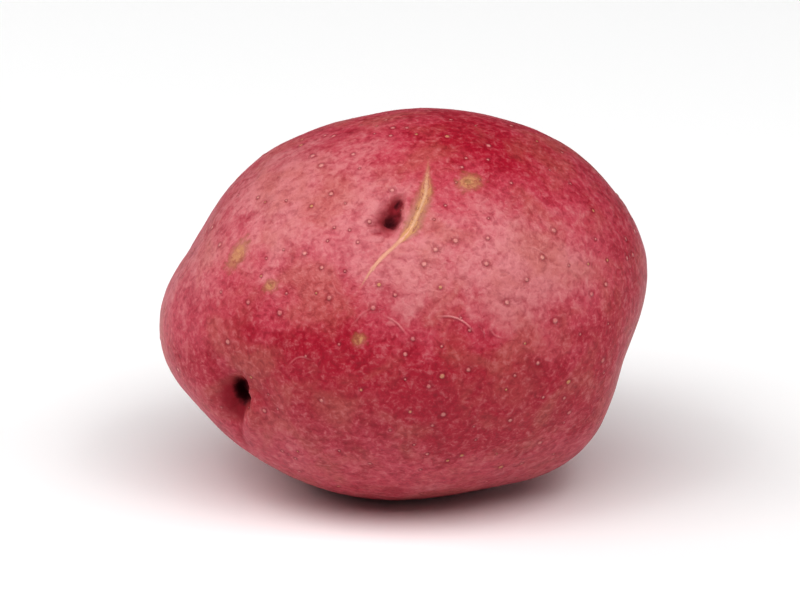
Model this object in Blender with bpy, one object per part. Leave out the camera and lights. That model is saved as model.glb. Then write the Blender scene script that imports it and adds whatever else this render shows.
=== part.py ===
"""A red-skinned potato: one solid tuber that rests on a small flat spot.

Metres, +Z up. The origin is under the middle of the tuber, on the plane it rests on.
+X runs along the tuber, from its stem end to its bud end, and -Y is its front.
"""

from collections import namedtuple
from math import cos, exp, radians, sin

import bmesh
import bpy
from mathutils import Matrix, Vector

# Overall sizes of the finished tuber.
LENGTH = 0.084
WIDTH = 0.070
HEIGHT = 0.065

# The underside is pressed flat by this much, and the long axis climbs towards the bud end.
FLAT_DEPTH = 0.0013
LEAN = radians(7)

# Fineness of the surface: the whole sphere, and the extra splits close to an eye. The splits
# reach this many pit lengths from an eye's centre.
SPHERE_SUBDIVISIONS = 5
EYE_SPLITS = 2
SPLIT_REACH = 0.75

# Beyond this many times its reach, an eye moves the surface by less than a micrometre.
EYE_FADE = 3

# Points this close to the flat spot's plane are moved onto it when the underside is cut.
CUT_MERGE = 0.00001

SKIN_COLOUR = (0.42, 0.055, 0.075, 1.0)
SKIN_ROUGHNESS = 0.5

# A broad swelling (rise above 0) or hollow (rise below 0) of the body. Its rise is a share of
# the body's radius there, and its spread is the angle over which it fades.
Swell = namedtuple("Swell", "toward spread rise")
SWELLS = (
    Swell((-1.00, 0.00, 0.02), radians(19), 0.045),
    Swell((-0.88, -0.46, -0.02), radians(24), 0.035),
    Swell((-0.86, 0.50, 0.00), radians(26), 0.040),
    Swell((-0.90, 0.06, 0.45), radians(18), -0.055),
    Swell((-0.74, -0.20, -0.65), radians(18), -0.035),
    Swell((0.70, -0.24, -0.67), radians(17), 0.075),
    Swell((0.66, 0.22, -0.70), radians(22), 0.040),
    Swell((0.90, -0.15, -0.40), radians(15), -0.080),
    Swell((0.87, 0.30, -0.38), radians(20), -0.035),
    Swell((0.90, 0.05, 0.40), radians(26), 0.015),
    Swell((-0.50, 0.25, 0.83), radians(22), -0.020),
    Swell((0.45, 0.30, 0.84), radians(25), 0.020),
    Swell((0.30, 0.93, -0.20), radians(32), 0.040),
    Swell((-0.40, 0.86, 0.32), radians(24), -0.035),
    Swell((0.20, -0.97, 0.10), radians(38), 0.020),
)

# An eye is a pit in a shallow dish, with a raised brow along one long side. Length, width and
# depth are the pit's, brow is the brow's height, and dish and reach are the dish's depth and
# radius. Slant turns the pit's long side away from level, about the surface's normal.
Eye = namedtuple("Eye", "toward slant length width depth brow dish reach")
EYES = (
    Eye((0.01, -0.70, 0.71), radians(70), 0.0056, 0.0024, 0.0014, 0.0003, 0.0008, 0.0070),
    Eye((-0.65, -0.75, -0.08), radians(-88), 0.0062, 0.0024, 0.0030, 0.0005, 0.0016, 0.0070),
    Eye((-0.25, 0.80, 0.55), radians(-8), 0.0070, 0.0022, 0.0018, 0.0006, 0.0012, 0.0080),
    Eye((0.38, 0.90, 0.05), radians(12), 0.0065, 0.0022, 0.0018, 0.0006, 0.0012, 0.0080),
    Eye((-0.30, 0.80, -0.50), radians(-15), 0.0060, 0.0022, 0.0016, 0.0005, 0.0010, 0.0075),
    Eye((0.90, 0.28, 0.34), radians(20), 0.0058, 0.0022, 0.0018, 0.0006, 0.0012, 0.0075),
    Eye((0.93, 0.15, -0.32), radians(-10), 0.0055, 0.0022, 0.0016, 0.0005, 0.0010, 0.0070),
    Eye((0.62, 0.35, 0.70), radians(5), 0.0060, 0.0022, 0.0014, 0.0005, 0.0010, 0.0075),
)

# The stem end's dimple, where the tuber came off its stolon, is shaped as a wide, round eye.
STEM_DIMPLE = Eye((-0.90, 0.43, 0.05), radians(10), 0.0050, 0.0040, 0.0016, 0.0002, 0.0022, 0.0085)
DIMPLES = EYES + (STEM_DIMPLE,)


def clear_scene():
    """Remove whatever the scene holds."""
    for obj in list(bpy.data.objects):
        bpy.data.objects.remove(obj, do_unlink=True)


def body_point(direction):
    """Point of the swollen ellipsoid for one unit direction, before the overall sizes are set."""
    radius = 1.0
    for swell in SWELLS:
        angle = direction.angle(Vector(swell.toward))
        radius += swell.rise * exp(-(angle / swell.spread) ** 2)
    point = Vector((direction.x * LENGTH, direction.y * WIDTH, direction.z * HEIGHT))
    return Matrix.Rotation(-LEAN, 3, "Y") @ (point * radius / 2)


def refine_near_eyes(bm):
    """Split the unit sphere's faces close to each dimple, so that its pit has faces to bend."""
    for _ in range(EYE_SPLITS):
        edges = set()
        for eye in DIMPLES:
            toward = Vector(eye.toward).normalized()
            reach = SPLIT_REACH * eye.length / (LENGTH / 2)
            near = [v for v in bm.verts if v.co.angle(toward) < reach]
            edges.update(edge for v in near for edge in v.link_edges)
        bmesh.ops.subdivide_edges(bm, edges=list(edges), cuts=1, use_grid_fill=True)
        for vert in bm.verts:
            vert.co.normalize()


def fit_to_sizes(bm):
    """Scale and centre the body so that, once its underside is cut, it measures the overall sizes."""
    low = Vector(min(v.co[axis] for v in bm.verts) for axis in range(3))
    high = Vector(max(v.co[axis] for v in bm.verts) for axis in range(3))
    sizes = Vector((LENGTH, WIDTH, HEIGHT + FLAT_DEPTH))
    middle = (low + high) / 2
    for vert in bm.verts:
        for axis in range(3):
            share = (vert.co[axis] - middle[axis]) / (high[axis] - low[axis])
            vert.co[axis] = share * sizes[axis]
        vert.co.z += HEIGHT - sizes.z / 2


def eye_axes(normal, slant):
    """The surface's two directions at an eye: along its pit, and across it towards its brow."""
    level = Vector((0, 0, 1)).cross(normal).normalized()
    upward = normal.cross(level)
    along = level * cos(slant) + upward * sin(slant)
    return along, normal.cross(along)


def eye_height(eye, along, across):
    """Height of the surface at one place of an eye, measured from the body."""
    dish = exp(-(along ** 2 + across ** 2) / eye.reach ** 2)
    pit = exp(-(2 * along / eye.length) ** 2 - (2 * across / eye.width) ** 2)
    bend = across - eye.width + along ** 2 / (2 * eye.length)
    brow = exp(-(along / eye.length) ** 2 - (2 * bend / eye.width) ** 2)
    return eye.brow * brow - eye.dish * dish - eye.depth * pit


def press_in_eyes(bm, directions):
    """Move the body's surface along its normals to make the eyes and the stem dimple."""
    bm.normal_update()
    normals = [v.normal.copy() for v in bm.verts]
    places = [v.co.copy() for v in bm.verts]
    for eye in DIMPLES:
        toward = Vector(eye.toward).normalized()
        centre = max(range(len(places)), key=lambda i: directions[i].dot(toward))
        along_axis, across_axis = eye_axes(normals[centre], eye.slant)
        for vert, place, normal in zip(bm.verts, places, normals):
            offset = place - places[centre]
            if offset.length < EYE_FADE * eye.reach:
                height = eye_height(eye, offset.dot(along_axis), offset.dot(across_axis))
                vert.co += normal * height


def cut_flat_spot(bm):
    """Cut the underside level at z = 0 and close it with one flat face."""
    geometry = bm.verts[:] + bm.edges[:] + bm.faces[:]
    bmesh.ops.bisect_plane(bm, geom=geometry, dist=CUT_MERGE, plane_co=(0, 0, 0),
                           plane_no=(0, 0, 1), clear_inner=True)
    rim = [edge for edge in bm.edges if edge.is_boundary]
    for vert in {v for edge in rim for v in edge.verts}:
        vert.co.z = 0.0
    bmesh.ops.edgeloop_fill(bm, edges=rim)
    bmesh.ops.recalc_face_normals(bm, faces=bm.faces)
    bmesh.ops.triangulate(bm, faces=bm.faces)


def skin_material():
    """Plain crimson skin."""
    material = bpy.data.materials.new("potato_skin")
    material.use_nodes = True
    shader = material.node_tree.nodes["Principled BSDF"]
    shader.inputs["Base Color"].default_value = SKIN_COLOUR
    shader.inputs["Roughness"].default_value = SKIN_ROUGHNESS
    shader.inputs["Metallic"].default_value = 0.0
    return material


def make_potato(collection):
    """Build the tuber from a sphere and put it in its collection."""
    bpy.ops.mesh.primitive_ico_sphere_add(subdivisions=SPHERE_SUBDIVISIONS, radius=1.0)
    potato = bpy.context.active_object
    potato.name = "potato"
    bm = bmesh.new()
    bm.from_mesh(potato.data)
    refine_near_eyes(bm)
    directions = [v.co.normalized() for v in bm.verts]
    for vert, direction in zip(bm.verts, directions):
        vert.co = body_point(direction)
    fit_to_sizes(bm)
    press_in_eyes(bm, directions)
    # An eye near a widest place lowers it, so the sizes are set once more.
    fit_to_sizes(bm)
    cut_flat_spot(bm)
    bm.to_mesh(potato.data)
    bm.free()
    potato.data.shade_smooth()
    potato.data.materials.append(skin_material())
    for holder in list(potato.users_collection):
        holder.objects.unlink(potato)
    collection.objects.link(potato)


def main():
    clear_scene()
    collection = bpy.data.collections.new("potato")
    bpy.context.scene.collection.children.link(collection)
    make_potato(collection)


main()
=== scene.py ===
"""The looks of a red-skinned potato: its skin, modelled and coloured round the CAD tuber.

Metres, +Z up. +X runs from the stem end to the bud end, and -Y is the front.
"""
from collections import namedtuple
from math import cos, pi, radians, sin
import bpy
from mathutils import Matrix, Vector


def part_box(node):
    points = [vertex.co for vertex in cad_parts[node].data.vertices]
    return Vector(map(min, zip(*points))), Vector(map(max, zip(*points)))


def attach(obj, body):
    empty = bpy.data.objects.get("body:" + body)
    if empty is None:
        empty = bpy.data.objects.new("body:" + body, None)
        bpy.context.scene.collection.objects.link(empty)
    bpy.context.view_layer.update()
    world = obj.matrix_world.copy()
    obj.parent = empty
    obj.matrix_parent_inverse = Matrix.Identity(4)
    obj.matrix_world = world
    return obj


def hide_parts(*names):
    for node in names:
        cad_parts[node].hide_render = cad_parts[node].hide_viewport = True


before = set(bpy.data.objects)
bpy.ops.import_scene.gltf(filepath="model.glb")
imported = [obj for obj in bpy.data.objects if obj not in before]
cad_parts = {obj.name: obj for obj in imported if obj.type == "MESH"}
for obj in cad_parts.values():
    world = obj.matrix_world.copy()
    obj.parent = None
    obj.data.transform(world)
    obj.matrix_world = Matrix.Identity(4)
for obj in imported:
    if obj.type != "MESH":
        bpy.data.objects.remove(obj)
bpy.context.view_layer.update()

from types import SimpleNamespace

import bmesh
import bpy
import numpy as np
from mathutils import Vector, noise
from mathutils.bvhtree import BVHTree

NODE = "potato"
MM = 0.001

# The skin is a ball of even quads: so many to each edge of the cube that it is made from.
SIDE_QUADS = 128
# Passes of averaging that take the CAD facets and pits out of the body.
BODY_SMOOTHING = 170
# Quads crowd towards each eye by this share, within about this many degrees.
CROWDING = 0.5
CROWDED_ANGLE = 9

# Broad and fine unevenness of the whole skin: wavelength and height.
RIPPLES = (
    (15 * MM, 0.30 * MM),
    (6.5 * MM, 0.12 * MM),
    (2.8 * MM, 0.045 * MM),
    (1.4 * MM, 0.020 * MM),
)

# Lumps and hollows of the outline: turn, rise, spread (degrees), height.
LUMPS = (
    (-79, -28, 13, -1.1 * MM),
    (68, -46, 12, 1.2 * MM),
    (79, -26, 10, -0.8 * MM),
    (109, 40, 15, 0.5 * MM),
    (135, 62, 17, -0.7 * MM),
    (-153, 68, 12, -0.5 * MM),
    (-112, 46, 10, 0.6 * MM),
    (-97, 19, 9, -0.8 * MM),
    (-87, -10, 10, -0.6 * MM),
    (87, -8, 9, 0.5 * MM),
    (-30, 0, 14, 0.3 * MM),
    (170, 10, 16, 0.6 * MM),
    (-140, 5, 14, -0.5 * MM),
)

# Pores: how many, the least gap between two, the smallest and largest radius, the tallest dome.
PORE_COUNT = 330
PORE_GAP = 2.3 * MM
PORE_RADII = (0.18 * MM, 0.46 * MM)
PORE_HEIGHT = 0.10 * MM

# A distance, in mm or in sizes of a spot, that is out of reach of every line and spot.
FAR = 9.0

# The studio: the floor's radius, how far the lights and the camera stand from the potato, how
# far above level the camera looks from, and the share of the view's width that the potato takes.
FLOOR_RADIUS = 0.45
LIGHT_DISTANCE = 1.8
CAMERA_DISTANCE = 1.1
CAMERA_RISE = 20
POTATO_SHARE = 0.62

# Soft boxes: turn, rise, width, height, power.
LIGHTS = {
    "top_light": (0, 61, 1.80, 1.32, 22.7),
    "left_light": (-62, 48, 1.00, 1.00, 11.3),
    "right_light": (60, 50, 1.00, 1.00, 9.8),
    "bud_end_light": (94, 14, 0.50, 0.80, 4.1),
    "stem_end_light": (-112, 26, 1.00, 1.40, 9.3),
}


# ---------------------------------------------------------------- the tuber's body


def ball_mesh(name):
    """A cube split into even quads, as a mesh, with the place of each vertex on the cube."""
    bm = bmesh.new()
    bmesh.ops.create_cube(bm, size=2.0)
    bmesh.ops.subdivide_edges(bm, edges=bm.edges[:], cuts=SIDE_QUADS - 1, use_grid_fill=True)
    mesh = bpy.data.meshes.new(name)
    bm.to_mesh(mesh)
    bm.free()
    cube = np.zeros(len(mesh.vertices) * 3)
    mesh.vertices.foreach_get("co", cube)
    return mesh, cube.reshape(-1, 3)


def unit(vectors):
    """The vectors, each with length 1."""
    return vectors / np.linalg.norm(vectors, axis=-1, keepdims=True)


def lay_out_map(mesh, cube):
    """Give the mesh a UV map with one island for each side of the cube."""
    corner_verts = np.zeros(len(mesh.loops), int)
    mesh.loops.foreach_get("vertex_index", corner_verts)
    corners = cube[corner_verts].reshape(-1, 4, 3)
    middle = corners.mean(1)
    axis = np.abs(middle).argmax(1)
    rows = np.arange(len(axis))
    side = axis + 3 * (middle[rows, axis] > 0)
    across = corners[rows, :, (axis + 1) % 3]
    upward = corners[rows, :, (axis + 2) % 3]
    filled = 0.985
    u = (side % 3)[:, None] / 3 + (across * filled + 1) / 6
    v = (side // 3)[:, None] / 2 + (upward * filled + 1) / 4
    layer = mesh.uv_layers.new(name="OFBake")
    layer.data.foreach_set("uv", np.stack([u, v], -1).astype(np.float32).ravel())


class Tuber:
    """The skin's points, with their normals, and the tools that shape them."""

    def __init__(self, cad_object):
        self.mesh, cube = ball_mesh("potato_skin")
        lay_out_map(self.mesh, cube)
        self.edges = np.zeros(len(self.mesh.edges) * 2, int)
        self.mesh.edges.foreach_get("vertices", self.edges)
        self.edges = self.edges.reshape(-1, 2)
        self.toward = unit(np.tan(cube * pi / 4))
        for eye in EYES:
            self.draw_in(heading(eye.turn, eye.rise))
        low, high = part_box(NODE)
        self.centre = np.array((low + high) / 2)
        radii = self.cad_radii(cad_object)
        self.set_points(self.centre + self.toward * self.blur(radii, BODY_SMOOTHING)[:, None])

    def draw_in(self, centre):
        """Crowd the points towards a direction, so the skin there takes finer shapes."""
        cosine = np.clip(self.toward @ centre, -1, 1)
        angle = np.arccos(cosine)
        drawn = angle * (1 - CROWDING * np.exp(-(angle / radians(CROWDED_ANGLE)) ** 2))
        sideways = unit(self.toward - cosine[:, None] * centre + 1e-12)
        self.toward = centre * np.cos(drawn)[:, None] + sideways * np.sin(drawn)[:, None]

    def cad_radii(self, cad_object):
        """How far the CAD tuber's surface is from its centre, towards each point."""
        verts = [v.co.copy() for v in cad_object.data.vertices]
        tree = BVHTree.FromPolygons(verts, [p.vertices[:] for p in cad_object.data.polygons])
        centre = Vector(self.centre)
        return np.array([tree.ray_cast(centre, Vector(d))[3] for d in self.toward])

    def blur(self, values, passes):
        """Values at the points, each averaged with its neighbours' so many times."""
        first, second = self.edges.T
        size = len(values)
        count = np.bincount(first, minlength=size) + np.bincount(second, minlength=size)
        for _ in range(passes):
            around = np.bincount(first, values[second], size)
            around += np.bincount(second, values[first], size)
            values = (values + around / count) / 2
        return values

    def set_points(self, points):
        """Move the skin to these points and find its normals."""
        self.points = points
        self.mesh.vertices.foreach_set("co", points.astype(np.float32).ravel())
        self.mesh.update()
        normals = np.zeros(len(points) * 3, np.float32)
        self.mesh.vertex_normals.foreach_get("vector", normals)
        self.normals = normals.reshape(-1, 3).astype(float)

    def raise_by(self, heights):
        """Move the skin outwards along its normals."""
        self.set_points(self.points + self.normals * heights[:, None])

    def keep_above_floor(self):
        """Flatten whatever of the skin is lower than the flat spot that it rests on."""
        points = self.points.copy()
        points[:, 2] = np.maximum(points[:, 2], 0.0)
        self.set_points(points)

    def noise(self, wavelength, seed):
        """Smooth noise over the skin, from -1 to 1."""
        shift = Vector((seed * 7.3, seed * 3.1, seed * 5.7))
        return np.array([noise.noise(Vector(p) / wavelength + shift) for p in self.points])

    def patch(self, turn, rise, spread):
        """A soft round patch of the skin: 1 in its middle, fading over so many degrees."""
        angle = np.degrees(np.arccos(np.clip(self.toward @ heading(turn, rise), -1, 1)))
        return np.exp(-(angle / spread) ** 2)

    def mark(self, name, values):
        """Keep values at the points as a named attribute, for the skin's finish to read."""
        kind = "FLOAT_VECTOR" if values.ndim == 2 else "FLOAT"
        layer = self.mesh.attributes.new(name, kind, "POINT")
        field = "vector" if values.ndim == 2 else "value"
        layer.data.foreach_set(field, values.astype(np.float32).ravel())


def heading(turn, rise):
    """Unit vector that turns so many degrees from the front to the bud end, and rises so many."""
    turn, rise = radians(turn), radians(rise)
    return np.array((sin(turn) * cos(rise), -cos(turn) * cos(rise), sin(rise)))


class Seat:
    """A place on the skin, with directions along and across it."""

    def __init__(self, tuber, turn, rise, slant=0.0):
        index = int((tuber.toward @ heading(turn, rise)).argmax())
        self.point = tuber.points[index].copy()
        self.normal = tuber.normals[index].copy()
        level = unit(np.cross((0, 0, 1), self.normal))
        upward = np.cross(self.normal, level)
        self.along = level * cos(radians(slant)) + upward * sin(radians(slant))
        self.across = np.cross(self.normal, self.along)

    def near(self, tuber, reach):
        """Indices of the skin's points within reach, and their places along and across, in mm."""
        offset = tuber.points - self.point
        near = np.flatnonzero(np.einsum("ij,ij->i", offset, offset) < reach ** 2)
        offset = offset[near] / MM
        return near, offset @ self.along, offset @ self.across


# ---------------------------------------------------------------- eyes


# A pit lies at a place of its eye, along and across. Its half sizes and depth are in mm.
# The last two say how black and how wine-red the skin is painted in it, as painted shade.
Pit = namedtuple("Pit", "along across half_length half_width depth slant dirt flush")
# A fold runs through places of its eye, in mm: a ridge where its height is above 0.
Fold = namedtuple("Fold", "places half_width height")
# Walls on the far side of an eye's pits are steeper by this share.
# Lashes are thin cracks over the eye, each with a raised pale edge above it.
Eye = namedtuple("Eye", "turn rise slant steep pits folds lashes")
EYE_REACH = 17 * MM

# How square a pit's walls are, and how much wine-red painted shade a furrow gets for each mm of
# depth.
PIT_POWER = 2.4
FURROW_SHADE = 2.2

# A lash's crack and its edge, in mm: half width and height.
LASH_CRACK = (0.32, -0.22)
LASH_EDGE = (0.45, 0.16)
LASH_EDGE_GAP = 0.5
LASH_PALENESS_WIDTH = 0.35


def common_eye(turn, rise, slant, size=1.0, depth=1.0, lash=1.0):
    """An eye as most are: a long pit under a brow, with buds in it and a lash line over it."""
    return Eye(turn, rise, slant, 1.5, (
        Pit(0.0, 0.2, 3.1 * size, 1.15 * size, 1.5 * depth, 4, 0.0, 1.0),
        Pit(1.0 * size, 0.2, 1.5 * size, 0.7 * size, 0.7 * depth, -12, 1.0, 1.0),
        Pit(-1.6 * size, 0.1, 1.1 * size, 0.55 * size, 0.5 * depth, 20, 0.85, 1.0),
        Pit(0.0, -1.9 * size, 5.6 * size, 3.0 * size, 1.0 * depth, 0, 0.0, 0.75),
        Pit(-0.3 * size, 0.0, 0.5 * size, 0.4 * size, -0.5 * depth, 0, 0.0, 0.0),
        Pit(2.6 * size, -0.5, 0.6 * size, 0.4 * size, -0.35 * depth, 0, 0.0, 0.0),
    ), (
        Fold(((-6.0 * size, 0.0), (-3.2 * size, 1.9 * size), (0.4 * size, 2.5 * size),
              (3.6 * size, 1.7 * size), (6.0 * size, -0.3)), 0.95, 0.60 * depth),
        Fold(((-1.6, -1.2), (-0.6, -2.4), (0.9, -3.1)), 0.28, -0.14),
        Fold(((1.6, -1.1), (2.3, -2.2), (3.6, -2.6)), 0.28, -0.12),
        Fold(((-3.4, -1.2), (-2.8, -2.6), (-1.8, -3.5)), 0.30, -0.12),
    ), (
        ((-8.6 * lash, -1.0), (-6.2 * lash, 1.9 * size), (-1.8 * lash, 4.0 * size),
         (3.4 * lash, 3.9 * size), (8.2 * lash, 0.8)),
    ))


EYES = (
    # The eye in the middle of the front: two small pits, with creases below them.
    Eye(-3.0, 46.5, 77, 1.0, (
        Pit(-1.2, 0.1, 1.8, 1.25, 1.5, 10, 0.80, 1.0),
        Pit(1.9, -0.2, 1.3, 0.75, 0.9, -6, 0.75, 1.0),
        Pit(0.3, 0.0, 3.3, 1.5, 0.5, 5, 0.3, 1.0),
        Pit(-1.6, 0.7, 3.2, 2.6, 0.35, 5, 0.0, 0.8),
    ), (
        Fold(((-2.2, 1.2), (-3.0, 2.4), (-3.2, 3.8)), 0.30, -0.34),
        Fold(((-2.8, 0.0), (-4.0, 1.3), (-4.4, 3.1)), 0.34, -0.36),
        Fold(((-3.4, -0.7), (-5.2, 0.2), (-6.1, 1.8)), 0.34, -0.28),
        Fold(((-2.6, -1.9), (0.2, -2.3), (3.4, -1.7)), 0.80, 0.16),
    ), ()),
    # The deep eye low on the front, towards the stem end: an upright slit under a lip.
    Eye(-48.5, -13.5, -96, 1.3, (
        Pit(0.0, 0.2, 3.0, 1.5, 3.4, 10, 0.0, 1.0),
        # A pit with no depth: it only paints the slit black and wine-red, as painted shade.
        Pit(0.5, -0.6, 3.7, 1.5, 0.0, 10, 1.0, 1.0),
        Pit(4.0, -0.5, 3.2, 1.5, 1.1, 6, 0.1, 1.0),
        # Broad shallow hollows to the left of the slit, painted wine-red as shade.
        Pit(1.4, -1.9, 5.0, 2.8, 0.7, 4, 0.0, 1.0),
        Pit(0.8, -2.8, 6.4, 3.6, 0.4, 4, 0.0, 0.5),
    ), (
        Fold(((-3.6, 1.3), (0.0, 2.6), (4.4, 2.3), (7.6, 1.2)), 1.0, 0.45),
        Fold(((5.0, -0.4), (7.4, -0.2), (10.2, 0.4), (13.4, 1.4)), 0.85, -0.26),
    ), ()),
    # The bud end's eyes, close together.
    common_eye(104, 21, 18, 0.85, 1.0, 0.8),
    common_eye(97, -8, -14, 0.80, 0.9, 0.7),
    common_eye(122, 43, 30, 0.70, 0.8, 0.8),
    # The back's eyes, further apart.
    common_eye(150, 4, 10, 1.0, 1.05, 1.0),
    common_eye(-157, 28, -8, 1.1, 1.0, 1.15),
    common_eye(-161, -33, -12, 0.9, 0.9, 0.9),
    # The stem end: a shallow dimple round the scar of the stem.
    Eye(-110, -6, 0, 1.0, (
        Pit(0.0, 0.0, 5.2, 4.6, 1.0, 0, 0.0, 0.55),
        Pit(0.1, -0.1, 2.4, 2.0, 0.9, 20, 0.0, 0.9),
        Pit(0.3, 0.2, 1.0, 0.9, -0.9, 0, 0.0, 0.0),
        Pit(-1.3, 0.5, 0.7, 0.5, 0.5, 40, 0.8, 1.0),
        Pit(1.4, -0.9, 0.6, 0.5, 0.4, -30, 0.7, 1.0),
    ), (
        Fold(((-2.6, -2.0), (-3.2, 0.2), (-1.6, 2.6), (1.2, 3.0), (3.3, 1.0)), 0.6, 0.35),
        Fold(((1.6, 1.8), (3.0, 3.2), (4.8, 4.0)), 0.30, -0.22),
        Fold(((-2.0, 1.8), (-3.6, 2.8), (-5.6, 3.0)), 0.30, -0.20),
        Fold(((-0.6, -2.4), (-1.0, -4.2), (-0.4, -6.0)), 0.30, -0.20),
    ), ()),
)


def line_points(places, count=60):
    """A smooth line through the places, as evenly numbered points."""
    places = np.array(places, float)
    ends = np.vstack([2 * places[0] - places[1], places, 2 * places[-1] - places[-2]])
    at = np.linspace(0, len(places) - 1 - 1e-9, count)
    i, t = at.astype(int), (at % 1)[:, None]
    a, b, c, d = (ends[i + k] for k in range(4))
    square = (2 * a - 5 * b + 4 * c - d) * t ** 2
    cube = (3 * b - a - 3 * c + d) * t ** 3
    return (2 * b + (c - a) * t + square + cube) / 2


def near_line(places, line):
    """How far each place is from a line, and the line's strength there, 0 at its ends."""
    gaps = np.linalg.norm(places[:, None] - line[None], axis=-1)
    run = gaps.argmin(1) / (len(line) - 1)
    return gaps.min(1), np.sin(pi * run) ** 0.6


def pit_shape(pit, along, across, steep):
    """The hollow of a pit, from 0 to 1 at its middle."""
    cosine, sine = cos(radians(pit.slant)), sin(radians(pit.slant))
    a = (along - pit.along) * cosine + (across - pit.across) * sine
    b = (across - pit.across) * cosine - (along - pit.along) * sine
    b = np.where(b > 0, b * steep, b)
    return np.exp(-np.hypot(a / pit.half_length, b / pit.half_width) ** PIT_POWER)


def ridge(gap, half_width):
    """The rounded section of a ridge or furrow: 1 on its line, fading to the sides."""
    return np.exp(-(gap / half_width) ** 2)


def press_in(tuber, eye, wobble):
    """Shape one eye. Return how black and how wine-red its painted shade makes the skin, and its
    pale edges.
    """
    seat = Seat(tuber, eye.turn, eye.rise, eye.slant)
    near, along, across = seat.near(tuber, EYE_REACH)
    along = along + 0.45 * wobble[0][near] + 0.30 * wobble[2][near]
    across = across + 0.35 * wobble[1][near] - 0.30 * wobble[2][near]
    places = np.stack([along, across], -1)
    height, dirt, flush, edge = np.zeros((4, len(near)))
    # The pits are painted black and wine-red, and the furrows wine-red: painted shade.
    for pit in eye.pits:
        shape = pit_shape(pit, along, across, eye.steep)
        height -= pit.depth * shape
        dirt = np.maximum(dirt, pit.dirt * shape)
        flush = np.maximum(flush, pit.flush * shape)
    for fold in eye.folds:
        gap, ends = near_line(places, line_points(fold.places))
        shape = ends * ridge(gap, fold.half_width)
        height += fold.height * shape
        flush = np.maximum(flush, -FURROW_SHADE * fold.height * shape)
    for lash in eye.lashes:
        line = line_points(lash)
        for shift, (half_width, rise) in ((0.0, LASH_CRACK), (LASH_EDGE_GAP, LASH_EDGE)):
            gap, ends = near_line(places, line + (0.0, shift))
            height += rise * ends * ridge(gap, half_width)
        edge = np.maximum(edge, ends * ridge(gap, LASH_PALENESS_WIDTH))
    whole = np.zeros((4, len(tuber.points)))
    whole[:, near] = height * MM, dirt, flush, edge
    tuber.raise_by(whole[0])
    return whole[1:]


def press_in_eyes(tuber):
    """Shape all the eyes and mark their black and wine-red painted shade and their pale edges on
    the skin.
    """
    wobble = [tuber.noise(size * MM, seed) for seed, size in ((9, 1.7), (10, 1.3), (12, 0.7))]
    marks = np.zeros((3, len(tuber.points)))
    for eye in EYES:
        marks = np.maximum(marks, press_in(tuber, eye, wobble))
    for name, values in zip(("eye_pit_shade", "eye_wine_shade", "eye_edge"), marks):
        tuber.mark(name, values)


# ---------------------------------------------------------------- pores


def scatter_pores(tuber, rng):
    """Choose the skin's pores (lenticels), more of them high on the bud end, never too close."""
    chosen = []
    chance = 0.45 + 0.55 * np.clip((tuber.toward @ heading(35, 45) + 0.4) / 1.2, 0, 1)
    for index in rng.permutation(len(tuber.points)):
        if len(chosen) == PORE_COUNT:
            break
        if rng.random() > chance[index]:
            continue
        if chosen:
            gaps = np.linalg.norm(tuber.points[chosen] - tuber.points[index], axis=1)
            if gaps.min() < PORE_GAP:
                continue
        chosen.append(int(index))
    return chosen


def raise_pores(tuber, rng):
    """Raise each pore a little and mark its centre, its radius and its tone on the skin."""
    chosen = scatter_pores(tuber, rng)
    small, large = PORE_RADII
    radii = small + (large - small) * rng.random(len(chosen)) ** 1.6
    tones = rng.random(len(chosen))
    centre_of = np.zeros((len(tuber.points), 3))
    radius_of, tone_of, heights = np.zeros((3, len(tuber.points)))
    for index, radius, tone in zip(chosen, radii, tones):
        gap = np.linalg.norm(tuber.points - tuber.points[index], axis=1)
        near = gap < PORE_GAP / 2
        dome = PORE_HEIGHT * (radius / large) * ridge(gap[near], 1.2 * radius)
        heights[near] = dome
        centre_of[near] = tuber.points[index] + tuber.normals[index] * dome.max()
        radius_of[near] = radius
        tone_of[near] = tone
    tuber.raise_by(heights)
    tuber.mark("pore_centre", centre_of / MM)
    tuber.mark("pore_radius", radius_of / MM)
    tuber.mark("pore_tone", tone_of)


# ---------------------------------------------------------------- lines and patches


# A line on the skin runs through places given by turn and rise. Its strength is 1 or less.
Line = namedtuple("Line", "strength places")
LINE_POINTS = 160
LINE_REACH = 30 * MM

# How far to each side a scar and a scratch are marked, and over what width the mark fades, in mm.
SCAR_REACH = 3.0
SCRATCH_REACH = 1.5
REACH_FADE = 0.5

# The long scar, from the top down.
SCAR = (
    Line(1.0, ((21, 67), (16.8, 61), (13.8, 56), (11.5, 51), (7.2, 45), (3.5, 40), (-1.5, 35.6),
               (-6, 31.7), (-9, 28), (-11.4, 24), (-13.1, 20.5))),
)

# Thin pale scratches, each with a painted shadow along one side.
SCRATCHES = (
    Line(1.0, ((9, 15.0), (14, 14.8), (18, 12.8), (21, 9.0))),
    Line(0.7, ((-5, 15.6), (-1, 13.6), (2.5, 9.5))),
    Line(0.3, ((-14, 11.5), (-11, 15.5), (-6.5, 18.5))),
    Line(0.4, ((24, 11.5), (26, 8.5), (29, 7.4))),
    Line(0.3, ((4, 21), (8, 22.4), (13, 21))),
    Line(0.3, ((-22, 25), (-19, 21), (-15, 20))),
    Line(0.4, ((-32, -2), (-28, 2), (-23, 1.5))),
    Line(0.4, ((40, 30), (44, 28), (47, 24))),
    Line(0.9, ((150, 40), (163, 36), (175, 28))),
    Line(0.9, ((-100, 52), (-118, 44), (-128, 33))),
)

# Spots and rough patches: turn, rise, half length, half width (mm), slant.
TAN_SPOTS = (
    (32.9, 52.4, 2.4, 1.7, 20),
    (-55.5, 24.5, 2.9, 1.7, 80),
    (-40.1, 19.4, 1.3, 1.1, 0),
    (-11, 8.4, 1.3, 1.1, 40),
    (-110, -6, 2.6, 2.0, 20),
    (80, -36, 3.0, 1.5, 30),
    (88, -31, 1.4, 0.9, 0),
    (172, 52, 2.6, 1.2, 60),
    (-172, 2, 1.6, 1.2, 0),
)
SPOT_REACH = 12 * MM
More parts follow.
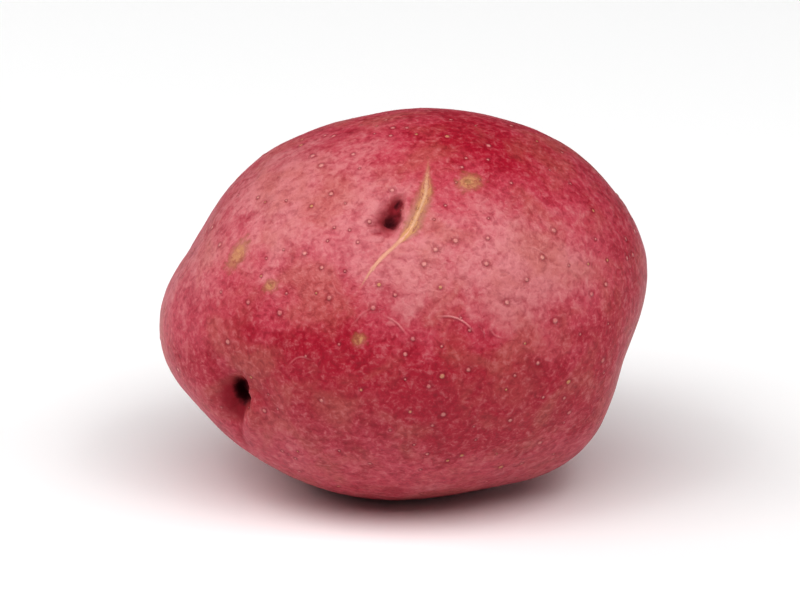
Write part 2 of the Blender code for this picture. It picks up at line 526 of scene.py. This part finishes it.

# Pale and deep zones of the skin: turn, rise, spread (degrees), and how pale.
# The zones further round than a right angle only vary the skin's own tone.
# The zones that face the front and the top are painted light and shade: pale where the soft
# boxes' highlight falls, high on the front and on the upper stem end, and low down where the
# bud end's rim and high towards the bud end.
# floor's light falls; deep in the shaded band low across the front, round the deep eye, at the
LIGHT_AND_TONE_ZONES = (
    (-38, 44, 30, 0.78),
    (-76, 50, 16, 0.35),
    (5, 33, 22, 0.48),
    (41, 30, 20, 0.55),
    (36, 15, 17, 0.85),
    (6, 14, 13, 0.42),
    (-76, 12, 16, 0.42),
    (18, -8, 21, -1.35),
    (-27, 1, 18, -0.80),
    (50, -9, 18, -0.85),
    (84, 6, 14, -0.55),
    (-48, -8, 14, -0.45),
    (62, 62, 20, -0.70),
    (-14, 76, 12, 0.30),
    (12, 80, 12, -0.25),
    (0, -45, 22, 0.25),
    (172, 30, 28, 0.60),
    (135, -25, 24, 0.35),
    (-120, 25, 22, 0.50),
    (-160, -8, 26, -0.60),
    (112, 8, 20, -0.45),
)


def mark_light_and_tone_zones(tuber):
    """Mark how pale the skin is, from -1 for deep crimson to 1 for pale rose, painting light and
    shade on the front.
    """
    pale = np.zeros(len(tuber.points))
    for turn, rise, spread, amount in LIGHT_AND_TONE_ZONES:
        pale += amount * tuber.patch(turn, rise, spread)
    tuber.mark("paleness_and_painted_light", np.clip(pale, -1, 1))


def line_on_skin(tuber, places):
    """A smooth line over the skin, as points, with the direction to one side at each of them."""
    ways = unit(line_points([heading(*place) for place in places], LINE_POINTS))
    points = np.array([tuber.points[(tuber.toward @ way).argmax()] for way in ways])
    radii = np.linalg.norm(points - tuber.centre, axis=1)
    window = 13
    radii = np.pad(radii, window // 2, "edge")
    radii = np.convolve(radii, np.full(window, 1 / window), "valid")
    points = tuber.centre + ways * radii[:, None]
    return points, np.cross(np.gradient(points, axis=0), ways)


def mark_lines(tuber, name, lines, reach):
    """Mark the skin by the nearest line: how far to its side, in mm, how far along, how strong."""
    gap_of = np.full(len(tuber.points), FAR)
    run_of, strength_of = np.zeros((2, len(tuber.points)))
    for strength, places in lines:
        line, sides = line_on_skin(tuber, places)
        near = np.linalg.norm(tuber.points - line.mean(0), axis=1) < LINE_REACH
        near = np.flatnonzero(near)
        gaps = np.linalg.norm(tuber.points[near, None] - line[None], axis=-1)
        nearest = gaps.argmin(1)
        side = np.sign(((tuber.points[near] - line[nearest]) * sides[nearest]).sum(1))
        gap = side * gaps.min(1) / MM
        closer = np.abs(gap) < np.abs(gap_of[near])
        gap_of[near[closer]] = gap[closer]
        run_of[near[closer]] = nearest[closer] / (len(line) - 1)
        strength_of[near[closer]] = strength
    fade = np.clip((reach - np.abs(gap_of)) / REACH_FADE, 0, 1)
    tuber.mark(name + "_gap", gap_of)
    tuber.mark(name + "_run", run_of)
    tuber.mark(name + "_strength", strength_of * fade)


def mark_spots(tuber):
    """Mark how far out the skin is in the nearest spot: 0 at its middle and 1 at its edge."""
    out = np.full(len(tuber.points), FAR)
    for turn, rise, half_length, half_width, slant in TAN_SPOTS:
        near, along, across = Seat(tuber, turn, rise, slant).near(tuber, SPOT_REACH)
        out[near] = np.minimum(out[near], np.hypot(along / half_length, across / half_width))
    tuber.mark("tan_spot", out)


# ---------------------------------------------------------------- finishes


class Value:
    """A socket of a finish, in arithmetic that adds Math nodes."""

    def __init__(self, finish, socket):
        self.finish = finish
        self.socket = socket

    def math(self, operation, *others):
        return self.finish.math(operation, self, *others)

    def __add__(self, other):
        return self.math("ADD", other)

    __radd__ = __add__

    def __sub__(self, other):
        return self.math("SUBTRACT", other)

    def __rsub__(self, other):
        return self.finish.math("SUBTRACT", other, self)

    def __mul__(self, other):
        return self.math("MULTIPLY", other)

    __rmul__ = __mul__

    def __truediv__(self, other):
        return self.math("DIVIDE", other)

    def __rtruediv__(self, other):
        return self.finish.math("DIVIDE", other, self)

    def __abs__(self):
        return self.math("ABSOLUTE")


class Finish:
    """The nodes of a material or a world, in the making."""

    def __init__(self, owner):
        owner.use_nodes = True
        self.owner = owner
        self.tree = owner.node_tree

    def node(self, kind, settings=None, sockets=None, output=0):
        """Add a node with its settings, then the values or links of its sockets."""
        made = self.tree.nodes.new(kind)
        for name, value in (settings or {}).items():
            setattr(made, name, value)
        for name, value in (sockets or {}).items():
            self.feed(made.inputs[name], value)
        return Value(self, made.outputs[output])

    def feed(self, socket, value):
        """Give a socket its value, or link it."""
        if isinstance(value, Value):
            self.tree.links.new(value.socket, socket)
        else:
            socket.default_value = value

    def fill(self, name, sockets):
        """Give values or links to the sockets of a node that is there from the start."""
        node = self.tree.nodes[name]
        for socket, value in sockets.items():
            self.feed(node.inputs[socket], value)
        return node

    def math(self, operation, *values):
        return self.node("ShaderNodeMath", {"operation": operation}, dict(enumerate(values)))

    def vector(self, operation, sockets, output="Vector"):
        return self.node("ShaderNodeVectorMath", {"operation": operation}, sockets, output)

    def attribute(self, name, output="Fac"):
        return self.node("ShaderNodeAttribute", {"attribute_name": name}, output=output)

    def noise(self, place, wavelength, detail=2.0, roughness=0.5, warp=0.0):
        """Noise from 0 to 1 with this wavelength, in the units of place."""
        sockets = {"Vector": place, "Scale": 1 / wavelength, "Detail": detail,
                   "Roughness": roughness, "Distortion": warp}
        return self.node("ShaderNodeTexNoise", None, sockets, "Fac")

    def step(self, value, low, high):
        """0 below low and 1 above high, with a smooth rise between. Low may be the higher one."""
        sockets = {"Value": value, "From Min": low, "From Max": high}
        return self.node("ShaderNodeMapRange", {"interpolation_type": "SMOOTHSTEP"}, sockets)

    def blend(self, share, one, other):
        """The first colour, turned into the other by share."""
        return self.node("ShaderNodeMix", {"data_type": "RGBA"}, {0: share, 6: one, 7: other}, 2)


def colour(red, green, blue):
    return (red, green, blue, 1.0)


CRIMSON = colour(0.410, 0.003, 0.030)
ROSE = colour(0.510, 0.058, 0.095)
# Bloom, a pale waxy haze, which also paints the soft boxes' highlight where the zones are palest.
BLOOM_AND_HIGHLIGHT = colour(0.590, 0.198, 0.212)
PALE = colour(0.700, 0.300, 0.300)
RUSSET = colour(0.470, 0.120, 0.095)
WINE = colour(0.210, 0.002, 0.012)
# Deep wine red: the pores' rings, and painted shade in and round the eyes' hollows.
FLUSH_AND_SHADE = colour(0.270, 0.002, 0.018)
# Near black: painted shade deep in the eyes' pits.
PIT_SHADE = colour(0.035, 0.001, 0.004)
TAN = colour(0.600, 0.310, 0.150)
CREAM = colour(0.780, 0.500, 0.330)
OLIVE = colour(0.340, 0.170, 0.070)
PORE = colour(0.720, 0.320, 0.290)


def find_patterns(skin, place, marks):
    """Mottling of the bare skin at five sizes, and how pale it is, with painted light and shade
    from the zones.
    """
    elsewhere = skin.vector("ADD", {0: place, 1: (40.0, 40.0, 40.0)})
    marks.broad = skin.noise(place, 15.0, 2.0)
    marks.warm = skin.noise(elsewhere, 10.0, 3.0, 0.6, 0.5)
    marks.medium = skin.noise(place, 4.0, 3.0, 0.55, 0.4)
    marks.fine = skin.noise(place, 1.1, 2.0, 0.6, 0.35)
    marks.grain = skin.noise(place, 0.45, 2.0, 0.6, 0.3)
    mottling = (marks.broad - 0.5) * 0.7 + (marks.medium - 0.5) * 0.7 + (marks.fine - 0.5) * 0.3
    # The zones' pale and deep parts paint highlight and shade on the front and top.
    marks.pale = skin.attribute("paleness_and_painted_light") * 0.5 + 0.45 + mottling


def find_pores(skin, place, marks):
    """The dome of each pore, the dark ring round it, and its tone."""
    centre = skin.attribute("pore_centre", "Vector")
    gap = skin.vector("DISTANCE", {0: place, 1: centre}, "Value")
    radius = skin.attribute("pore_radius")
    there = skin.step(radius, 0.05, 0.12)
    out = gap / (radius + 0.0001) + (marks.fine - 0.5) * 0.8
    marks.pore_dome = skin.step(out, 1.25, 0.45) * there
    marks.pore_ring = skin.step(out, 0.6, 1.2) * skin.step(out, 2.8, 1.2) * there
    marks.pore_tone = skin.attribute("pore_tone")


def find_scar(skin, marks):
    """The scar: wide and flaky in its upper half, a thin pale line in its lower half; its pale
    core is partly a painted highlight.
    """
    run = skin.attribute("scar_run")
    strength = skin.attribute("scar_strength")
    wide = skin.step(run, 0.0, 0.34) * skin.step(run, 0.60, 0.46) * strength
    thin = skin.step(run, 0.42, 0.55) * skin.step(run, 1.0, 0.70) * strength
    gap = abs(skin.attribute("scar_gap"))
    stretched = skin.node("ShaderNodeCombineXYZ", None, {0: gap, 1: run * 7.0})
    streak = skin.noise(stretched, 0.45, 2.0)
    uneven = (marks.fine - 0.5) * 1.1 + (marks.medium - 0.5) * 0.7 + (marks.grain - 0.5) * 0.6
    out = (gap + uneven * (wide + 0.1)) / (wide * 0.92 + thin * 0.32 + 0.001)
    flaked = skin.step(streak + thin * 0.15 + (marks.grain - 0.5) * 0.5, 0.36, 0.56)
    # The pale core along the scar's middle is partly a painted highlight on its ridge.
    core = skin.step(gap + (streak - 0.5) * 1.2, 0.42, 0.06)
    marks.scar = skin.step(out, 1.25, 0.60) * flaked * (wide + thin * 0.8)
    marks.scar_edge = skin.step(out, 2.2, 0.8) * (wide + thin * 0.3)
    marks.scar_core = core * (wide * 0.8 + thin * 0.9)
    marks.scar_thin = thin


def find_scratches(skin, marks):
    """The thin pale scratches, with a painted shadow along one side."""
    run = skin.attribute("scratch_run")
    there = skin.step(run, 0.0, 0.4) * skin.step(run, 1.0, 0.6)
    there = there * skin.attribute("scratch_strength")
    gap = skin.attribute("scratch_gap") + (marks.fine - 0.5) * 0.30
    marks.scratch = skin.step(abs(gap), 0.22, 0.06) * there
    marks.scratch_shade = skin.step(abs(gap - 0.30), 0.26, 0.06) * there


def find_spots(skin, marks):
    """The tan spots, with ragged olive edges and middles."""
    out = skin.attribute("tan_spot") + (marks.fine - 0.5) * 1.4 + (marks.medium - 0.5) * 1.6
    marks.spot = skin.step(out, 0.95, 0.60)
    marks.spot_edge = skin.step(out, 1.50, 0.80)
    marks.spot_core = skin.step(out, 0.30, 0.05)


def find_eyes(skin, marks):
    """The painted shade in the eyes: wine-red in and round their hollows, black deep in their
    pits.
    """
    flush = skin.attribute("eye_wine_shade") + (marks.fine - 0.5) * 0.25 + (marks.medium - 0.5) * 0.3
    dirt = skin.attribute("eye_pit_shade") + (marks.fine - 0.5) * 0.25 + (marks.grain - 0.5) * 0.2
    marks.flush = skin.step(flush, 0.20, 0.95)
    marks.dirt = skin.step(dirt, 0.40, 1.05)


def skin_marks(skin, place):
    """Patterns of the skin and shares of its marks, each from 0 to 1."""
    marks = SimpleNamespace()
    find_patterns(skin, place, marks)
    find_pores(skin, place, marks)
    find_scar(skin, marks)
    find_scratches(skin, marks)
    find_spots(skin, marks)
    find_eyes(skin, marks)
    return marks


def bare_colour(skin, marks):
    """Crimson that turns to rose and bloom where the skin is pale, with russet and flecks, and
    painted light and shade.
    """
    # On the front and top the zones make this painted light: rose and bloom for highlight, crimson
    # for shade.
    now = skin.blend(skin.step(marks.pale, 0.12, 0.55), CRIMSON, ROSE)
    now = skin.blend(skin.step(marks.pale, 0.50, 0.95), now, BLOOM_AND_HIGHLIGHT)
    now = skin.blend(skin.step(marks.warm, 0.44, 0.70) * 0.55, now, RUSSET)
    now = skin.blend(skin.step(marks.fine, 0.46, 0.76) * 0.21, now, PALE)
    speck = skin.step(marks.grain * 0.6 + marks.fine * 0.4, 0.52, 0.66) * 0.19
    now = skin.blend(speck, now, PALE)
    fleck = skin.step(marks.fine, 0.53, 0.26) * (0.48 - marks.pale * 0.20)
    now = skin.blend(fleck, now, WINE)
    shade = skin.step(marks.medium + marks.grain * 0.3, 0.66, 0.40) * 0.22
    return skin.blend(shade, now, WINE)


def skin_colour(skin, marks):
    """The colours of the skin, from the bare skin up to the black painted shade in the eyes."""
    now = skin.blend(marks.pore_ring * 0.42, bare_colour(skin, marks), FLUSH_AND_SHADE)
    pore_colour = skin.blend(skin.step(marks.pore_tone, 0.78, 0.86), PORE, TAN)
    now = skin.blend(marks.pore_dome * (0.45 + marks.pore_tone * 0.4), now, pore_colour)

    # The scar's cream core is partly a painted highlight on its ridge.
    core_and_highlight_colour = skin.blend(marks.scar_thin * 0.6, CREAM, PORE)
    now = skin.blend(marks.scar_edge * 0.60, now, OLIVE)
    now = skin.blend(marks.scar * 0.80, now, TAN)
    now = skin.blend(marks.scar_core * 0.75, now, core_and_highlight_colour)

    now = skin.blend(marks.spot_edge * 0.45, now, OLIVE)
    now = skin.blend(marks.spot * skin.step(marks.fine, 0.30, 0.60) * 0.75, now, TAN)
    now = skin.blend(marks.spot_core * 0.60, now, OLIVE)

    # Painted shadow beside each scratch, as of a lifted edge of skin.
    now = skin.blend(marks.scratch_shade * 0.40, now, WINE)
    now = skin.blend(marks.scratch * 0.70, now, PALE)

    now = skin.blend(skin.attribute("eye_edge") * 0.55, now, PORE)
    # Painted shade in the eyes: wine-red in and round their hollows, black deep in their pits.
    now = skin.blend(marks.flush * 0.90, now, FLUSH_AND_SHADE)
    return skin.blend(marks.dirt, now, PIT_SHADE)


def skin_relief(skin, marks):
    """Relief too fine to model, in mm, as a normal."""
    relief = marks.medium * 0.25 + marks.fine * 0.14 + marks.grain * 0.055
    relief = relief + marks.pore_dome * 0.10 - marks.pore_ring * 0.05
    relief = relief + marks.scratch * 0.05 + marks.scar * 0.06 + marks.spot * marks.grain * 0.08
    return skin.node("ShaderNodeBump", None, {"Height": relief, "Distance": MM}, "Normal")


def skin_finish():
    """Crimson skin with mottling, bloom, pores, dark eyes, a tan scar, pale scratches and painted
    highlight and shade.
    """
    skin = Finish(bpy.data.materials.new("potato_skin"))
    place = skin.node("ShaderNodeTexCoord", output="Object")
    place = skin.vector("SCALE", {0: place, "Scale": 1 / MM})
    marks = skin_marks(skin, place)
    rough = 0.31 + marks.medium * 0.12 + marks.grain * 0.14
    rough = rough + (marks.scar + marks.spot) * 0.2 + marks.flush * 0.4
    shader = skin.fill("Principled BSDF", {
        "Base Color": skin_colour(skin, marks),
        "Roughness": rough,
        "Normal": skin_relief(skin, marks),
        "IOR": 1.45,
        "Sheen Weight": 0.04,
        "Sheen Roughness": 0.4,
        "Sheen Tint": colour(1.0, 0.85, 0.85),
    })
    # The black painted shade in the eyes has no gloss at all.
    dirt = skin.node("ShaderNodeBsdfDiffuse", None, {"Color": PIT_SHADE})
    clean = Value(skin, shader.outputs[0])
    surface = skin.node("ShaderNodeMixShader", None, {0: marks.dirt, 1: clean, 2: dirt})
    skin.fill("Material Output", {"Surface": surface})
    return skin.owner


# ---------------------------------------------------------------- the skin


def make_skin():
    """Model the tuber's skin round the CAD node and give it its finish."""
    tuber = Tuber(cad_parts[NODE])
    heights = np.zeros(len(tuber.points))
    for turn, rise, spread, height in LUMPS:
        heights += height * tuber.patch(turn, rise, spread)
    for seed, (wavelength, height) in enumerate(RIPPLES, 1):
        heights += height * tuber.noise(wavelength, seed)
    tuber.raise_by(heights)
    press_in_eyes(tuber)
    raise_pores(tuber, np.random.default_rng(11))
    mark_lines(tuber, "scar", SCAR, SCAR_REACH)
    mark_lines(tuber, "scratch", SCRATCHES, SCRATCH_REACH)
    mark_spots(tuber)
    mark_light_and_tone_zones(tuber)
    tuber.keep_above_floor()
    tuber.mesh.shade_smooth()
    tuber.mesh.materials.append(skin_finish())
    skin = bpy.data.objects.new("potato_skin", tuber.mesh)
    bpy.context.scene.collection.objects.link(skin)
    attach(skin, "root")
    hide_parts(NODE)


# ---------------------------------------------------------------- the stage


def place_facing(name, data, turn, rise, distance, target):
    """Put a light or the camera at a heading and a distance from a point, facing it."""
    thing = bpy.data.objects.new(name, data)
    thing.location = target + Vector(heading(turn, rise)) * distance
    thing.rotation_mode = "QUATERNION"
    thing.rotation_quaternion = (target - thing.location).to_track_quat("-Z", "Y")
    bpy.context.scene.collection.objects.link(thing)
    return thing


def make_lights(target):
    """Soft rectangular lights that face the potato."""
    for name, (turn, rise, width, height, power) in LIGHTS.items():
        light = bpy.data.lights.new(name, "AREA")
        light.shape = "RECTANGLE"
        light.size = width
        light.size_y = height
        light.energy = power
        place_facing(name, light, turn, rise, LIGHT_DISTANCE, target)


def make_world():
    """A world that looks white but gives only a dim even light."""
    world = Finish(bpy.data.worlds.new("studio"))
    seen = world.node("ShaderNodeLightPath", output="Is Camera Ray")
    sockets = {"Value": seen, "To Min": 0.15, "To Max": 1.0}
    strength = world.node("ShaderNodeMapRange", None, sockets)
    world.fill("Background", {"Color": colour(1.0, 1.0, 1.0), "Strength": strength})
    bpy.context.scene.world = world.owner


def make_floor():
    """A plain, pale, matt floor."""
    finish = Finish(bpy.data.materials.new("pale_floor"))
    finish.fill("Principled BSDF", {
        "Base Color": colour(0.90, 0.90, 0.90),
        "Roughness": 0.9,
        "Specular IOR Level": 0.1,
    })
    bpy.ops.mesh.primitive_circle_add(vertices=128, radius=FLOOR_RADIUS, fill_type="NGON")
    floor = bpy.context.active_object
    floor.name = "floor"
    floor.data.materials.append(finish.owner)


def make_camera(target, potato_width):
    """A camera that looks down at the potato's front."""
    data = bpy.data.cameras.new("camera")
    data.lens = data.sensor_width * CAMERA_DISTANCE * POTATO_SHARE / potato_width
    camera = place_facing("camera", data, 0, CAMERA_RISE, CAMERA_DISTANCE, target)
    bpy.context.scene.camera = camera
    bpy.context.scene.view_settings.view_transform = "Standard"
    bpy.context.scene.view_settings.gamma = 0.8


def make_stage():
    """The floor, the lights and the camera."""
    low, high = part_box(NODE)
    middle = (low + high) / 2
    make_floor()
    make_lights(middle)
    make_world()
    make_camera(middle, high.x - low.x)


make_skin()
make_stage()
